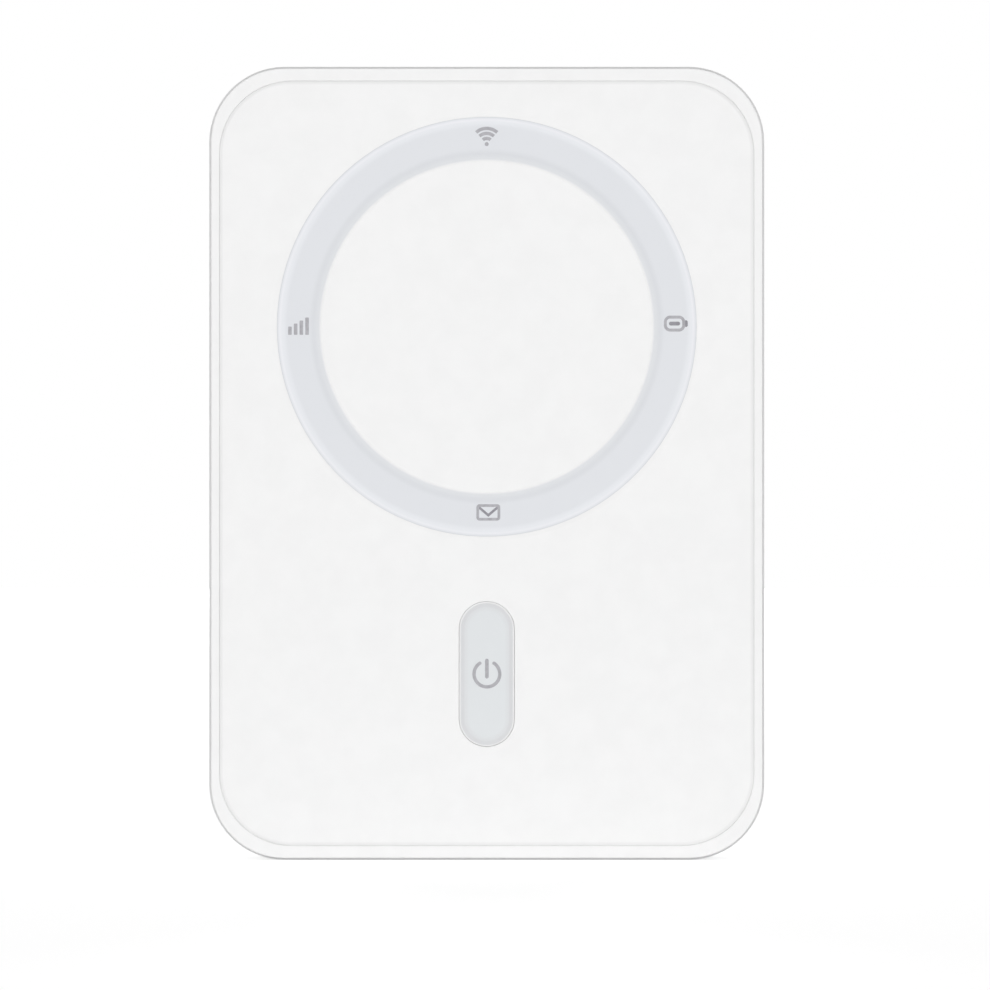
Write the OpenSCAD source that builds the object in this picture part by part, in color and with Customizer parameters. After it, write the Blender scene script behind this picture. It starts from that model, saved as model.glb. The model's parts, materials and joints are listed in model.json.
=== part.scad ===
// Pocket mobile hotspot: a two-shell plastic body with an inset face plate, a translucent
// indicator ring, a pill-shaped power key, a circuit board and a battery under a clip-on back cover.
//
// Every piece is drawn lying on its back: z = 0 is the rear face and +z looks out of the front,
// x is to the right and y is up the face, both from the middle of the body.
// upright() then stands it on its bottom end, with the front towards -Y.

/* [Body] */
// Width of the body
body_w = 70; // [68:0.5:80]
// Height of the body
body_h = 100; // [98:0.5:115]
// Thickness of the body, front to back
body_t = 15; // [14.6:0.1:18]
// Corner radius of the body, seen from the front
corner_r = 9.5; // [8:0.25:12]
// How far the front edge leans in over its bevel
bevel_w = 0.3; // [0.15:0.05:0.4]
// Height of that bevel
bevel_h = 1.3; // [0.8:0.1:1.6]
// Rounding between that bevel and the front
front_edge_r = 0.15; // [0.1:0.05:0.25]
// Rounding of the back cover's rear edge
rear_edge_r = 3; // [1.8:0.1:3.5]
// Wall thickness of the front housing
wall = 1.5; // [1.3:0.1:1.8]
// Rounding of both lips of the seam between the two shells
seam_edge_r = 0.2; // [0.1:0.05:0.3]
// Gap at the seam between the two shells
seam_gap = 0.12; // [0.05:0.01:0.2]

/* [Face plate] */
// Thickness of the face plate
plate_t = 1.6; // [1.4:0.1:2]
// Width of the bezel beside the plate, left and right
bezel_side = 1.33; // [1.25:0.01:1.6]
// Width of the bezel above and below the plate
bezel_end = 1.84; // [1.4:0.01:2.2]
// Corner radius of the plate's outline
plate_r = 9.1; // [8:0.1:11]
// Gap between the plate's edge and the bezel
plate_gap = 0.02; // [0.02:0.01:0.1]
// Width over which the plate and the bezel fall away towards the line between them
lip_w = 0.25; // [0.15:0.05:0.4]
// Depth by which they fall
lip_depth = 0.06; // [0.04:0.01:0.1]
// Width of the ledge that carries the plate
ledge_w = 2.1; // [1.8:0.1:2.6]
// Thickness of that ledge
ledge_t = 1.1; // [0.9:0.1:1.3]
// Thickness of the adhesive frame between the ledge and the plate
adhesive_t = 0.15; // [0.1:0.05:0.2]
// Diameter of the pins that locate the plate on its ledge
plate_pin_d = 1; // [0.8:0.1:1.2]

/* [Indicator ring] */
// Distance of the ring's centre from the top end of the body
ring_top = 32.8; // [31.5:0.1:36]
// Outer radius of the ring
ring_outer_r = 26.45; // [25:0.05:27.5]
// Inner radius of the ring
ring_inner_r = 20.95; // [19.5:0.05:21.5]
// Depth of the channel that the ring lies in
channel_depth = 0.9; // [0.8:0.05:1.1]
// Width over which the plate falls away towards the ring's outer edge
ring_lip_w = 0.5; // [0.2:0.05:0.8]
// Depth by which it falls, to the ring's outer rim
ring_lip_depth = 0.1; // [0.04:0.01:0.14]
// How far the ring's flat lies below the face
ring_dish = 0.2; // [0.16:0.02:0.4]
// Width of the slope inside the flat
inner_slope_w = 1; // [0.6:0.1:1.4]
// Width of the slope outside the flat
outer_slope_w = 0.95; // [0.6:0.05:1.4]
// Distance of the four light pipes from the ring's centre
light_r = 23.75; // [23.2:0.05:24.2]
// Length of a light pipe's foot along the ring
pipe_l = 3; // [2.4:0.1:3.6]
// Width of a light pipe's foot across the ring
pipe_w = 1.7; // [1.4:0.1:2]

/* [Power key] */
// Distance of the key's centre below the ring's centre
key_drop = 43.75; // [41:0.05:46]
// Width of the slot for the key
key_slot_w = 7; // [6.4:0.1:8]
// Length of the slot for the key
key_slot_l = 18.3; // [15:0.1:20]
// Gap between the key and its slot
key_gap = 0.05; // [0.04:0.01:0.14]
// Width over which the key's top falls away to its edge
key_crown_w = 0.9; // [0.4:0.1:1.4]
// Depth by which it falls
key_crown_h = 0.16; // [0.08:0.02:0.3]
// How far the key's top lies below the face
key_sink = 0.05; // [0:0.01:0.1]
// Width of the flange that keeps the key in, each side
key_flange_w = 0.8; // [0.6:0.1:1.2]
// Thickness of that flange
key_flange_t = 0.7; // [0.6:0.1:0.9]
// Travel of the key, and of the switch below it
key_travel = 0.25; // [0.15:0.01:0.3]

/* [Circuit board] */
// Thickness of the board
board_t = 1; // [0.8:0.1:1.2]
// Gap between the board's edge and the housing
board_gap = 0.4; // [0.3:0.05:0.6]
// Depth of the strip above the board that is left for the antennas
antenna_strip = 4.5; // [4:0.1:5]
// Height of the power switch with its plunger
switch_h = 1.6; // [1.4:0.1:2]
// Height of a shield can
can_h = 1.6; // [1.3:0.1:1.7]
// Sheet thickness of a shield can
can_sheet = 0.2; // [0.15:0.05:0.3]

/* [Battery and frame] */
// Width of the battery pack
battery_w = 50; // [44:0.5:54]
// Length of the battery pack
battery_l = 60; // [54:0.5:62]
// Distance of the pack's centre below the middle of the body
battery_drop = 7; // [6:0.1:8]
// Corner radius of the pack, seen from the back
pack_corner_r = 1; // [0.8:0.1:1.4]
// Rounding of the pack's edges
pack_edge_r = 0.6; // [0.2:0.1:0.8]
// Gap around the pack in its bay
battery_gap = 0.3; // [0.2:0.05:0.4]
// Thickness of the inner frame's floor
frame_floor = 1; // [0.8:0.1:1.2]
// Thickness of the inner frame's skirt and bay walls
frame_wall = 1; // [0.8:0.1:1.2]
// Width of the scoop in the bay's wall that the pack is lifted out by
scoop_w = 16; // [10:0.5:24]
// Depth of that scoop
scoop_depth = 2.4; // [1:0.1:3]
// Gap between the inner frame and the front housing
frame_gap = 0.15; // [0.1:0.01:0.2]
// Space between the frame's floor and the board, for parts on the board's rear
rear_parts = 2.3; // [2.2:0.1:2.8]

/* [Back cover] */
// Height of the back cover's side wall
cover_h = 5; // [4.6:0.1:5.6]
// Wall thickness of the back cover
cover_wall = 1.2; // [1:0.1:1.3]
// Thickness of the foam pad that steadies the battery
foam_t = 0.3; // [0.2:0.05:0.5]
// How far a snap bump stands out of the cover's wall
snap_bump = 0.3; // [0.2:0.05:0.4]
// Width of the thumbnail notch in the cover's edge
notch_w = 8; // [6:0.5:12]

/* [Charging port] */
// Outer width of the port's metal shell
port_w = 8.94; // [8.9:0.01:9]
// Outer height of that shell
port_h = 3.16; // [3.1:0.01:3.3]
// Length of that shell
port_l = 7.3; // [6.5:0.1:8]
// Sheet thickness of that shell
port_sheet = 0.3; // [0.25:0.05:0.35]
// How far the shell's mouth lies inside the housing's end
port_recess = 0.6; // [0.4:0.1:1]
// Gap around the shell in the housing's wall
port_gap = 0.15; // [0.1:0.01:0.25]

/* [Fasteners] */
// Shank diameter of the four screws through the inner frame
screw_d = 1.6; // [1.4:0.1:1.8]
// Shank length of those screws, below the head
screw_l = 4.2; // [3.5:0.1:4.5]
// Shank diameter of the four screws that hold the board
board_screw_d = 1.4; // [1.2:0.1:1.5]
// Gap around a screw's shank in its hole
screw_gap = 0.05; // [0.03:0.01:0.1]

/* [Hidden] */
$fn = 96;
eps = 0.01;

// Levels in the stack, from the front face down to the battery.
face_z = body_t;
seam_z = cover_h + seam_gap;
plate_z = face_z - plate_t;
ledge_z = plate_z - adhesive_t;
ledge_under_z = ledge_z - ledge_t;
key_play = 0.05;
flange_z = plate_z - key_play - key_flange_t;
key_foot_h = 0.4;
plunger_z = flange_z - key_foot_h - key_play;
board_top_z = plunger_z - switch_h;
board_z = board_top_z - board_t;
frame_top_z = board_z - rear_parts;
frame_z = frame_top_z - frame_floor;
pack_top_z = frame_z - 0.2;
pack_z = cover_wall + foam_t;
skirt_z = cover_wall + 1.3;
bay_wall_z = pack_z + 0.7;

// Outlines that several pieces share, as [width, height, corner radius].
body = [body_w, body_h, corner_r];
cavity = inset(body, wall);
plate = [body_w - 2 * bezel_side - plate_gap, body_h - 2 * bezel_end - plate_gap, plate_r];
pocket = inset(plate, -plate_gap);
ledge_hole = [body_w - 2 * (bezel_side + ledge_w), body_h - 2 * (bezel_end + ledge_w), corner_r + 2.5];
skirt = inset(cavity, frame_gap);
board = inset(cavity, board_gap);
cover_inner = inset(body, cover_wall);
bay = [battery_w + 2 * battery_gap, battery_l + 2 * battery_gap];
bay_walls = [bay[0] + 2 * frame_wall, bay[1] + 2 * frame_wall];

// Shallow edges of the face, as [width, depth].
lip = [lip_w, lip_depth];
ring_lip = [ring_lip_w, ring_lip_depth];
key_crown = [key_crown_w, key_crown_h];

// Bosses in the housing's corners, with a web to the wall, for the frame's screws.
boss_r = 2.3;
boss_inset = 3;
boss_web = 1.2;
boss_x = cavity[0] / 2 - cavity[2] + (cavity[2] - boss_inset) / sqrt(2);
boss_y = cavity[1] / 2 - cavity[2] + (cavity[2] - boss_inset) / sqrt(2);
frame_head = [1.5, 0.9];

// Posts along the housing's sides that carry the board.
post_r = 1.8;
post_inset = 2.3;
post_x = cavity[0] / 2 - post_inset;
post_ys = [-25, 30];
board_screw_l = 2.2;
board_head = [1.25, 0.6];

// Pins under the plate that locate it, and how deep they reach into the ledge.
pin_x = body_w / 2 - bezel_side - ledge_w / 2;
pin_ys = [-32, 34];
pin_depth = ledge_t - 0.3;
pin_gap = 0.05;

// Ring, key and what lies under them.
ring_y = body_h / 2 - ring_top;
key_y = ring_y - key_drop;
channel_z = face_z - channel_depth;
led = [1.6, 0.8, 0.6];
foot_z = board_top_z + led[2] + 0.5;
shroud_wall = 1;
shroud_gap = 0.15;
shroud_margin = shroud_gap + shroud_wall;
key_w = key_slot_w - 2 * key_gap;
key_l = key_slot_l - 2 * key_gap;
key_foot_r = 1.2;
switch_body = [4.2, 3.4, switch_h - 0.4];
plunger_r = 0.8;
plunger_gap = 0.05;

// Parts on the board's front, as [width, height, thickness], and their places as [x, y].
board_end_y = cavity[1] / 2 - antenna_strip;
modem_can = [30, 24];
modem = [12, 12, 1];
modem_x = -6;
memory = [8, 10, 0.9];
memory_x = 8;
radio_can = [16, 13];
radio_xy = [-board[0] / 2 + radio_can[0] / 2 + 5, -14];
charger = [4, 4, 0.8];
charger_xy = [12, -12];
inductor = [2.6, 1.5];
inductor_xy = [20, -12];

// Charging port, under the board's lower edge.
port_mouth_y = -body_h / 2 + port_recess;
port_end_y = port_mouth_y + port_l;
port_z = board_z - port_h / 2;
port_inner = [port_w - 2 * port_sheet, port_h - 2 * port_sheet];
tongue = [6.69, 0.7];
tongue_recess = 0.9;
tongue_base = 1.6;
port_pads = 12;
port_pad = [0.25, 3, 0.05];
port_pitch = 0.5;

// Battery connector, on the board beyond the pack's lower end.
battery_y = -battery_drop;
pack_end_y = battery_y - battery_l / 2;
bay_end_y = battery_y - bay[1] / 2;
bay_top_y = battery_y + bay[1] / 2;
end_cap_l = 3;
block = [13.4, 3.4];
block_x = 14;
block_y = bay_end_y - block[1] / 2;
block_z = pack_z + 0.8;
block_gap = 0.2;
blades = 4;
blade_pitch = 3;
blade_w = 1.2;
blade_t = 0.15;
blade_r = 0.9;
blade_z = (pack_z + pack_top_z) / 2;
blade_slot = [1.5, 2.4, 2.2];
terminal = [1.8, 0.3, 2.6];
terminal_recess = 0.3;

// Card socket above the bay, and the window that a card goes in by.
sim = [15, 14.5, 1.4];
sim_x = -9;
sim_y = bay_top_y + frame_wall + 2 + sim[1] / 2;
sim_slot = [13.4, 12.6, 0.85];
sim_window = [33, 16.5];
sim_window_x = sim_x + (sim_window[0] - sim[0]) / 2 - 0.75;
sim_leaf = [3.2, 1.1, 0.12];
sim_leaf_pitch = [7.2, 2.54];
sim_floor = 0.25;

// Reset switch beside the card window, reached by a pin through the frame.
reset_x = sim_window_x + sim_window[0] / 2 + 4;
reset_y = sim_y - 3;
reset_body = [3.6, 3.2, 1.2];
reset_r = 0.6;
reset_out = 0.5;
reset_travel = 0.2;
pinhole_r = 0.8;

// Ribs on the frame and inside the cover.
rib_t = 0.9;
rib_h = 2;
rib_ys = [-30, -18, -6, 6, 18];
rib_xs = [-22, -12, 24];
cover_rib_h = 0.6;
cover_rib_ys = [-42, 32, 42];

// Snap bumps inside the cover's wall, and the grooves for them in the frame's skirt.
snap_l = 6;
snap_h = 0.8;
snap_z = cover_h - 1;
snap_ys = [-24, 2, 28];
snap_xs = [-18, 18];
snap_groove = 0.4;
snap_reach = wall - cover_wall + frame_gap;
notch_depth = 1;
notch_y = -34;

// Film aerials on the housing's inner walls, as [length, height, thickness].
film = [26, 3.8, 0.15];
film_z = frame_top_z + 0.5;
side_film_y = 2;
top_film_l = 41.6;
top_clip_x = 14;
clip_w = 1.2;
clip_t = 0.12;
clip_foot = 1.6;
clip_set = 2.4;
clip_h = 1;

// ---- Shared shapes ----

// An outline made smaller all round by a margin.
function inset(size, margin) = [size[0] - 2 * margin, size[1] - 2 * margin, size[2] - margin];

// Radius of an arc that leaves a level smoothly and has moved by rise at the distance w.
function sweep_r(w, rise) = (w * w + rise * rise) / (2 * rise);

// Stands a piece that was drawn lying on its back on its bottom end.
module upright() {
    translate([0, body_t / 2, body_h / 2]) rotate([90, 0, 0]) children();
}

// Rounded rectangle; size is [width, height, corner radius].
module outline(size) {
    square([size[0] - 2 * size[2], size[1]], center = true);
    square([size[0], size[1] - 2 * size[2]], center = true);
    for (x = [-1, 1], y = [-1, 1])
        translate([x * (size[0] / 2 - size[2]), y * (size[1] / 2 - size[2])]) circle(size[2]);
}

// Slab with upright edges between two levels.
module slab(size, z0, z1) {
    translate([0, 0, z0]) linear_extrude(z1 - z0) outline(size);
}

// Wall that follows an outline, between two levels.
module wall_ring(size, thickness, z0, z1) {
    translate([0, 0, z0]) linear_extrude(z1 - z0) difference() {
        outline(size);
        outline(inset(size, thickness));
    }
}

// Sweeps its child, an edge profile with x = 0 at the corner's centre, round a rounded
// rectangle, and fills the middle between two levels.
module swept(size, z0, z1) {
    x = size[0] / 2 - size[2];
    y = size[1] / 2 - size[2];
    translate([-x, -y, z0]) cube([2 * x, 2 * y, z1 - z0]);
    for (turn = [0, 180]) rotate(turn) {
        translate([x, y, 0]) rotate_extrude(angle = 90) children();
        translate([-x, y, 0]) rotate(90) rotate_extrude(angle = 90) children();
        translate([x, y, 0]) rotate([90, 0, 0]) linear_extrude(2 * y) children();
        translate([-x, y, 0]) rotate([90, 0, 90]) linear_extrude(2 * x) children();
    }
}

// The same round a pill shape, with x = 0 on the pill's centre line.
module swept_pill(w, l) {
    y = (l - w) / 2;
    for (turn = [0, 180]) rotate(turn) translate([0, y, 0]) {
        rotate_extrude(angle = 180) children();
        rotate([90, 0, 0]) linear_extrude(2 * y) children();
    }
}

module pill_outline(w, l) {
    square([w, l - w], center = true);
    for (y = [-1, 1]) translate([0, y * (l - w) / 2]) circle(w / 2);
}

// What a rounding takes off a corner that points up and to the right.
module corner_cut(r) {
    difference() {
        square(r + 1);
        circle(r);
    }
}

// Edge profile out to reach, with its outer corners rounded above and below.
module rounded_profile(reach, z0, z1, above, below) {
    difference() {
        translate([0, z0]) square([reach, z1 - z0]);
        if (above > 0) translate([reach - above, z1 - above]) corner_cut(above);
        if (below > 0) translate([reach - below, z0 + below]) mirror([0, 1]) corner_cut(below);
    }
}

// The same with a straight wall that leans in below the front; bevel is [width, height].
module bevelled_profile(reach, z0, z1, bevel, above, below) {
    edge_x = reach - bevel[0] * (1 - above / bevel[1]);
    difference() {
        polygon([[0, z0], [reach, z0], [reach, z1 - bevel[1]], [reach - bevel[0], z1], [0, z1]]);
        translate([edge_x - above, z1 - above]) corner_cut(above);
        translate([reach - below, z0 + below]) mirror([0, 1]) corner_cut(below);
    }
}

// What is cut from a face that falls away in a shallow arc towards a wall, with the wall at
// x = 0, the face at y = 0 to the right of it, and fall as [width, depth].
module lip_cut(fall) {
    r = sweep_r(fall[0], fall[1]);
    difference() {
        translate([-fall[0], -fall[1]]) square([2 * fall[0], fall[1] + 1]);
        translate([fall[0], -r]) circle(r);
    }
}

// Profile of a cut from z0 up through the face at z1, which falls away towards it.
module flared_profile(reach, z0, z1, fall) {
    translate([0, z0]) square([reach, z1 - z0 + 1]);
    translate([reach, z1]) lip_cut(fall);
}

// Edge profile out to reach, whose top falls away towards the edge.
module crowned_profile(reach, z0, z1, fall) {
    difference() {
        translate([0, z0]) square([reach, z1 - z0]);
        translate([reach, z1]) mirror([1, 0]) lip_cut(fall);
    }
}

module rounded_slab(size, z0, z1, above, below) {
    swept(size, z0, z1) rounded_profile(size[2], z0, z1, above, below);
}

// Block centred on a point in x and y, between two levels.
module block_at(x, y, z0, z1, size) {
    translate([x - size[0] / 2, y - size[1] / 2, z0]) cube([size[0], size[1], z1 - z0]);
}

// Round pin or hole between two levels.
module rod(r, z0, z1) {
    translate([0, 0, z0]) cylinder(h = z1 - z0, r = r);
}

// Places children at the four corner bosses, turned so that +x points into the corner.
module at_bosses() {
    for (x = [-1, 1], y = [-1, 1])
        translate([x * boss_x, y * boss_y, 0]) rotate(atan2(y, x)) children();
}

// Boss and web seen from the front, grown by a margin.
module boss_outline(grow) {
    circle(boss_r + grow);
    translate([0, -boss_web / 2 - grow]) square([boss_inset + wall / 2, boss_web + 2 * grow]);
}

// Places children at the four posts, turned so that +x points at the wall.
module at_posts() {
    for (x = [-1, 1], y = post_ys) translate([x * post_x, y, 0]) rotate(x > 0 ? 0 : 180) children();
}

// Places children at the plate's four pins.
module at_pins() {
    for (x = [-1, 1], y = pin_ys) translate([x * pin_x, y, 0]) children();
}

// Places children at four stations round the ring, turned so that +y points outward.
module at_lights() {
    for (turn = [0 : 90 : 270]) translate([0, ring_y, 0]) rotate(turn) translate([0, light_r, 0]) children();
}

// Places children along the cover's inner wall, turned so that +x points outward.
module at_snaps() {
    for (x = [-1, 1], y = snap_ys)
        translate([x * cover_inner[0] / 2, y, 0]) rotate(x > 0 ? 0 : 180) children();
    for (y = [-1, 1], x = snap_xs)
        translate([x, y * cover_inner[1] / 2, 0]) rotate(y * 90) children();
}

// Flat-sided oval of the charging port, seen from below.
module port_outline(w, h) {
    square([w - h, h], center = true);
    for (x = [-1, 1]) translate([x * (w - h) / 2, 0]) circle(h / 2);
}

// Extrudes its child, drawn as seen from below, along y between two places.
module along_y(y0, y1) {
    translate([0, y1, port_z]) rotate([90, 0, 0]) linear_extrude(y1 - y0) children();
}

// Places children at each of the battery connector's contacts.
module at_contacts() {
    for (i = [0 : blades - 1]) translate([block_x + (i - (blades - 1) / 2) * blade_pitch, 0, 0]) children();
}

// Pan-head screw with a cross recess, its head below z; head is [radius, height].
module screw(d, l, head, z) {
    recess = head[0] * 0.28;
    difference() {
        union() {
            rod(head[0], z - head[1], z);
            rod(d / 2, z - eps, z + l);
        }
        for (turn = [0, 90]) rotate(turn)
            block_at(0, 0, z - head[1] - 1, z - head[1] / 2, [head[0] * 1.2, recess]);
    }
}

// Metal can, open towards the board.
module shield_can(xy, size) {
    inner = [size[0] - 2 * can_sheet, size[1] - 2 * can_sheet];
    difference() {
        block_at(xy[0], xy[1], board_top_z, board_top_z + can_h, size);
        block_at(xy[0], xy[1], board_top_z - 1, board_top_z + can_h - can_sheet, inner);
    }
}

// ---- Front ----

// Bezel, side walls, the ledge for the plate, and the bosses and posts inside.
module front_housing() {
    color("#f4f4f4") upright() difference() {
        union() {
            difference() {
                swept(body, seam_z, face_z)
                    bevelled_profile(corner_r, seam_z, face_z, [bevel_w, bevel_h], front_edge_r, seam_edge_r);
                slab(cavity, cover_h - 1, ledge_under_z);
                slab(ledge_hole, ledge_under_z - 1, ledge_z + 1);
                ledge_notches();
                swept(pocket, ledge_z, face_z + 1) flared_profile(pocket[2], ledge_z, face_z, lip);
            }
            at_bosses() translate([0, 0, frame_top_z])
                linear_extrude(ledge_under_z - frame_top_z + ledge_t / 2) boss_outline(0);
            at_posts() {
                rod(post_r, board_top_z, ledge_z);
                translate([0, -post_r / 2, board_top_z])
                    cube([post_inset + wall / 2, post_r, ledge_z - board_top_z]);
            }
        }
        at_bosses() rod(screw_d / 2 + screw_gap, frame_top_z - 1, frame_z + screw_l + 0.3);
        at_posts() rod(board_screw_d / 2 + screw_gap, board_top_z - 1, board_z + board_screw_l + 0.3);
        at_pins() rod(plate_pin_d / 2 + pin_gap, ledge_under_z - 1, ledge_z + 1);
        along_y(-body_h / 2 - 1, -cavity[1] / 2 + 1)
            port_outline(port_w + 2 * port_gap, port_h + 2 * port_gap);
    }
}

// Room in the ledge for the shrouds and the key's flange, where they come near it.
module ledge_notches() {
    at_lights() block_at(0, 0, ledge_under_z - 1, ledge_z + 1,
        [pipe_l + 2 * shroud_margin + 2 * shroud_gap, pipe_w + 2 * shroud_margin + 2 * shroud_gap]);
    translate([0, key_y, ledge_under_z - 1]) linear_extrude(ledge_t + 2)
        pill_outline(key_w + 2 * key_flange_w + 2 * frame_gap, key_l + 2 * key_flange_w + 2 * frame_gap);
}

// Inset front plate with the ring's channel, the key's slot and the light pipes' holes.
module face_plate() {
    color("#f4f4f4") upright() difference() {
        union() {
            swept(plate, plate_z, face_z) crowned_profile(plate[2], plate_z, face_z, lip);
            at_pins() rod(plate_pin_d / 2, ledge_z - pin_depth, plate_z + eps);
        }
        translate([0, ring_y, 0]) rotate_extrude() ring_channel();
        translate([0, key_y, 0]) swept_pill(key_slot_w, key_slot_l)
            flared_profile(key_slot_w / 2, plate_z - 1, face_z, lip);
        at_lights() block_at(0, 0, plate_z - 1, face_z, [pipe_l, pipe_w]);
    }
}

module ring_channel() {
    translate([ring_inner_r, channel_z]) square([ring_outer_r - ring_inner_r, channel_depth + 1]);
    translate([ring_inner_r, face_z]) mirror([1, 0]) lip_cut(lip);
    translate([ring_outer_r, face_z]) lip_cut(ring_lip);
}

// Thin double-sided adhesive between the ledge and the plate.
module plate_adhesive() {
    edge = inset(plate, 0.3);
    color("#d9d9d6") upright() difference() {
        slab(edge, ledge_z, plate_z);
        slab(ledge_hole, ledge_z - 1, plate_z + 1);
        at_pins() rod(plate_pin_d / 2 + pin_gap, ledge_z - 1, plate_z + 1);
    }
}

// Dished light guide with one foot for each light. It is moulded into the plate as its second
// shot, so it fills the channel and the light pipes' holes without a gap.
module indicator_ring() {
    color("#e1e4e9") upright() {
        translate([0, ring_y, 0]) rotate_extrude() ring_profile();
        at_lights() block_at(0, 0, foot_z, channel_z + eps, [pipe_l, pipe_w]);
    }
}

module ring_profile() {
    inner_foot = ring_inner_r + inner_slope_w;
    outer_foot = ring_outer_r - outer_slope_w;
    difference() {
        translate([ring_inner_r, channel_z]) square([ring_outer_r - ring_inner_r, channel_depth]);
        translate([inner_foot, face_z - ring_dish]) {
            square([outer_foot - inner_foot, ring_dish + 1]);
            dish_sweep(inner_slope_w, ring_dish - lip_depth);
        }
        translate([outer_foot, face_z - ring_dish]) dish_sweep(outer_slope_w, ring_dish - ring_lip_depth);
    }
}

// Circle that leaves the ring's flat smoothly and has risen to the rim at the slope's width.
module dish_sweep(slope_w, rise) {
    r = sweep_r(slope_w, rise);
    translate([0, r]) circle(r);
}

// Pill-shaped key with a flange behind the plate and a foot over the switch.
module power_button() {
    top_z = face_z - key_sink;
    flange_w = key_w + 2 * key_flange_w;
    flange_l = key_l + 2 * key_flange_w;
    color("#e1e4e9") upright() translate([0, key_y, 0]) {
        swept_pill(key_w, key_l) crowned_profile(key_w / 2, flange_z, top_z, key_crown);
        swept_pill(flange_w, flange_l) rounded_profile(flange_w / 2, flange_z, flange_z + key_flange_t, 0, 0);
        rod(key_foot_r, flange_z - key_foot_h, flange_z + eps);
    }
}

// ---- Circuit board and what it carries ----

// Rubber collars that keep each light to its own foot.
module light_shrouds() {
    color("#26282b") upright() at_lights() difference() {
        block_at(0, 0, board_top_z, plate_z, [pipe_l + 2 * shroud_margin, pipe_w + 2 * shroud_margin]);
        block_at(0, 0, board_top_z - 1, plate_z + 1, [pipe_l + 2 * shroud_gap, pipe_w + 2 * shroud_gap]);
    }
}

module status_leds() {
    color("#fbf6df") upright() at_lights() block_at(0, 0, board_top_z, board_top_z + led[2], led);
}

module power_switch() {
    color("#c9ccd0") upright() translate([0, key_y, 0]) difference() {
        block_at(0, 0, board_top_z, board_top_z + switch_body[2], switch_body);
        rod(plunger_r + plunger_gap, board_top_z + 0.2, board_top_z + switch_body[2] + 1);
    }
}

module power_switch_plunger() {
    color("#1d1e20") upright() translate([0, key_y, 0])
        rod(plunger_r, board_top_z + 0.3 + key_travel, plunger_z);
}

// Board with notches for the corner bosses and holes for its screws.
module main_board() {
    color("#1f6b4a") upright() difference() {
        slab(board, board_z, board_top_z);
        block_at(0, board_end_y + body_h / 2, board_z - 1, board_top_z + 1, [body_w, body_h]);
        at_bosses() translate([0, 0, board_z - 1]) linear_extrude(board_t + 2) boss_outline(board_gap);
        at_posts() rod(board_screw_d / 2 + screw_gap, board_z - 1, board_top_z + 1);
    }
}

module board_screws() {
    color("#b9bcc0") upright() at_posts() screw(board_screw_d, board_screw_l, board_head, board_z);
}

module modem_shield() {
    color("#c3c6c9") upright() shield_can([0, ring_y], modem_can);
}

module modem_chip() {
    color("#2a2b2d") upright() block_at(modem_x, ring_y, board_top_z, board_top_z + modem[2], modem);
}

module memory_chip() {
    color("#2a2b2d") upright() block_at(memory_x, ring_y, board_top_z, board_top_z + memory[2], memory);
}

module radio_shield() {
    color("#c3c6c9") upright() shield_can(radio_xy, radio_can);
}

module charger_chip() {
    color("#2a2b2d") upright()
        block_at(charger_xy[0], charger_xy[1], board_top_z, board_top_z + charger[2], charger);
}

module power_inductor() {
    color("#5b5d60") upright() translate([inductor_xy[0], inductor_xy[1], 0])
        rod(inductor[0], board_top_z, board_top_z + inductor[1]);
}

// ---- Charging port ----

module usb_shell() {
    color("#c3c6c9") upright() along_y(port_mouth_y, port_end_y) difference() {
        port_outline(port_w, port_h);
        port_outline(port_inner[0], port_inner[1]);
    }
}

// Plug tongue on its plastic base, which closes the back of the shell.
module usb_tongue() {
    color("#222326") upright() {
        along_y(port_end_y - tongue_base, port_end_y) port_outline(port_inner[0], port_inner[1]);
        along_y(port_mouth_y + tongue_recess, port_end_y - tongue_base + eps) square(tongue, center = true);
    }
}

// Two rows of contacts, on both faces of the tongue.
module usb_contacts() {
    y = port_mouth_y + tongue_recess + 0.5 + port_pad[1] / 2;
    color("#d8b24a") upright() for (i = [0 : port_pads - 1]) {
        x = (i - (port_pads - 1) / 2) * port_pitch;
        block_at(x, y, port_z + tongue[1] / 2, port_z + tongue[1] / 2 + port_pad[2], port_pad);
        block_at(x, y, port_z - tongue[1] / 2 - port_pad[2], port_z - tongue[1] / 2, port_pad);
    }
}

// ---- Card socket and reset switch, on the board's rear ----

// Low cage, open on the side that the card goes in by.
module sim_socket() {
    z0 = board_z - sim[2];
    slot_z = z0 + sim_floor;
    mouth = 1;
    color("#c3c6c9") upright() difference() {
        block_at(sim_x, sim_y, z0, board_z, sim);
        block_at(sim_x + (sim[0] - sim_slot[0]) / 2 + mouth, sim_y, slot_z, slot_z + sim_slot[2],
            [sim_slot[0] + 2 * mouth, sim_slot[1]]);
        block_at(sim_x + sim[0] / 2, sim_y, z0 - 1, slot_z + eps, [2 * sim[0] / 3, sim_slot[1] / 2]);
    }
}

// Six leaf contacts in two rows on the socket's ceiling.
module sim_contacts() {
    z = board_z - sim[2] + sim_floor + sim_slot[2];
    color("#d8b24a") upright() for (x = [-0.5, 0.5], y = [-1 : 1])
        block_at(sim_x + x * sim_leaf_pitch[0], sim_y + y * sim_leaf_pitch[1], z - sim_leaf[2], z, sim_leaf);
}

module reset_switch() {
    z0 = board_z - reset_body[2];
    color("#c9ccd0") upright() translate([reset_x, reset_y, 0]) difference() {
        block_at(0, 0, z0, board_z, reset_body);
        rod(reset_r + plunger_gap, z0 - 1, board_z - 0.2);
    }
}

module reset_plunger() {
    color("#1d1e20") upright() translate([reset_x, reset_y, 0])
        rod(reset_r, board_z - reset_body[2] - reset_out, board_z - 0.3 - reset_travel);
}

// ---- Aerials ----

// Film aerial flat on the housing's left wall.
module wifi_antenna() {
    color("#c98f4a") upright()
        block_at(-cavity[0] / 2 + film[2] / 2, side_film_y, film_z, film_z + film[1], [film[2], film[0]]);
}

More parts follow.
